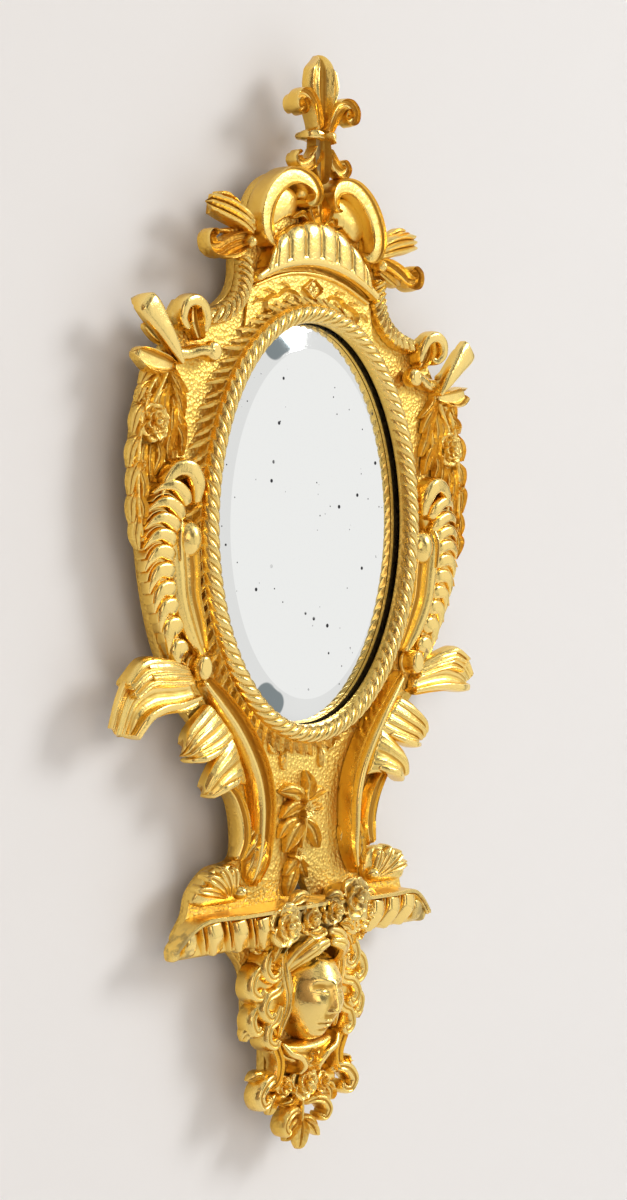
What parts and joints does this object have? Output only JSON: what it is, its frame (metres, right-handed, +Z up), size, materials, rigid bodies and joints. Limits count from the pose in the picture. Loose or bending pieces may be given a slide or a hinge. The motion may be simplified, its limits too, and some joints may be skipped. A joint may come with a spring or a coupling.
{
  "type": "girandole mirror",
  "caption": "Oval bevelled wall mirror in an upright gilt brass rococo frame with crown, lily finial, leaf scrolls, console and garlanded mask; hangs from a ring.",
  "frame": {"origin": "middle of the backing board's rear face, on the wall plane, behind the middle of the oval glass", "axes": "+Z up, +Y from the viewer into the wall, +X to the right of someone facing the glass; the front faces -Y"},
  "size_m": [0.258, 0.0455, 0.5231],
  "materials": {
    "gilt_bright": "fire-gilt, burnished on the high parts",
    "gilt_matt": "fire-gilt, matted with a stipple punch",
    "plain_brass": "dull, as cast and filed",
    "mirror": "old silvering with dark specks",
    "board_wood": "aged oak, unpolished",
    "iron": "dark, slightly rusted"
  },
  "bodies": {
    "frame": {"rope_moulding": "gilt_bright", "lily_finial": "gilt_bright", "finial_collar": "gilt_bright", "crest_arch_left": "gilt_bright", "crest_arch_right": "gilt_bright", "crown_band": "gilt_bright", "crown_dome": "gilt_bright", "shoulder_cord_left": "gilt_bright", "shoulder_cord_right": "gilt_bright", "rolled_curl_left": "gilt_bright", "rolled_curl_right": "gilt_bright", "volute_left": "gilt_bright", "volute_right": "gilt_bright", "gadroon_scroll_left": "gilt_bright", "gadroon_scroll_right": "gilt_bright", "pearl_left": "gilt_bright", "pearl_right": "gilt_bright", "ribbed_scroll_left": "gilt_bright", "ribbed_scroll_right": "gilt_bright", "s_scroll_left": "gilt_bright", "s_scroll_right": "gilt_bright", "acanthus_upper_left": "gilt_bright", "acanthus_upper_right": "gilt_bright", "acanthus_lower_left": "gilt_bright", "acanthus_lower_right": "gilt_bright", "shell_left": "gilt_bright", "shell_right": "gilt_bright", "mask_head": "gilt_bright", "mask_wreath": "gilt_bright", "console_shelf": "gilt_bright", "hair_curls_left": "gilt_bright", "hair_curls_right": "gilt_bright", "chin_collar": "gilt_bright", "chin_flowers": "gilt_bright", "frame_plate": "gilt_matt", "crown_frieze": "gilt_matt", "leaf_sprig_left": "gilt_matt", "leaf_sprig_right": "gilt_matt", "garland_left": "gilt_matt", "garland_right": "gilt_matt", "centre_spray": "gilt_matt", "bottom_sprig": "gilt_matt", "hanging_bracket": "plain_brass", "mask_nut": "plain_brass", "console_nut_left": "plain_brass", "console_nut_right": "plain_brass", "turn_button_screw_1": "iron", "turn_button_screw_2": "iron", "turn_button_screw_3": "iron", "turn_button_screw_4": "iron", "bracket_screw_1": "iron", "bracket_screw_2": "iron", "mirror_glass": "mirror", "backing_board": "board_wood"},
    "ring": {"hanging_ring": "plain_brass"},
    "button_1": {"turn_button_1": "plain_brass"},
    "button_2": {"turn_button_2": "plain_brass"},
    "button_3": {"turn_button_3": "plain_brass"},
    "button_4": {"turn_button_4": "plain_brass"}
  },
  "joints": [
    {"name": "ring_swing", "type": "hinge", "parent": "frame", "child": "ring", "pos_m": [0, -0.0062, 0.14], "axis": [1, 0, 0], "range_deg": [0, 180]},
    {"name": "button_turn_1", "type": "hinge", "parent": "frame", "child": "button_1", "pos_m": [0.05045, -0.003, 0.07758], "axis": [0, 1, 0], "continuous": true},
    {"name": "button_turn_2", "type": "hinge", "parent": "frame", "child": "button_2", "pos_m": [-0.05045, -0.003, 0.07758], "axis": [0, 1, 0], "continuous": true},
    {"name": "button_turn_3", "type": "hinge", "parent": "frame", "child": "button_3", "pos_m": [-0.05045, -0.003, -0.07758], "axis": [0, 1, 0], "continuous": true},
    {"name": "button_turn_4", "type": "hinge", "parent": "frame", "child": "button_4", "pos_m": [0.05045, -0.003, -0.07758], "axis": [0, 1, 0], "continuous": true}
  ]
}
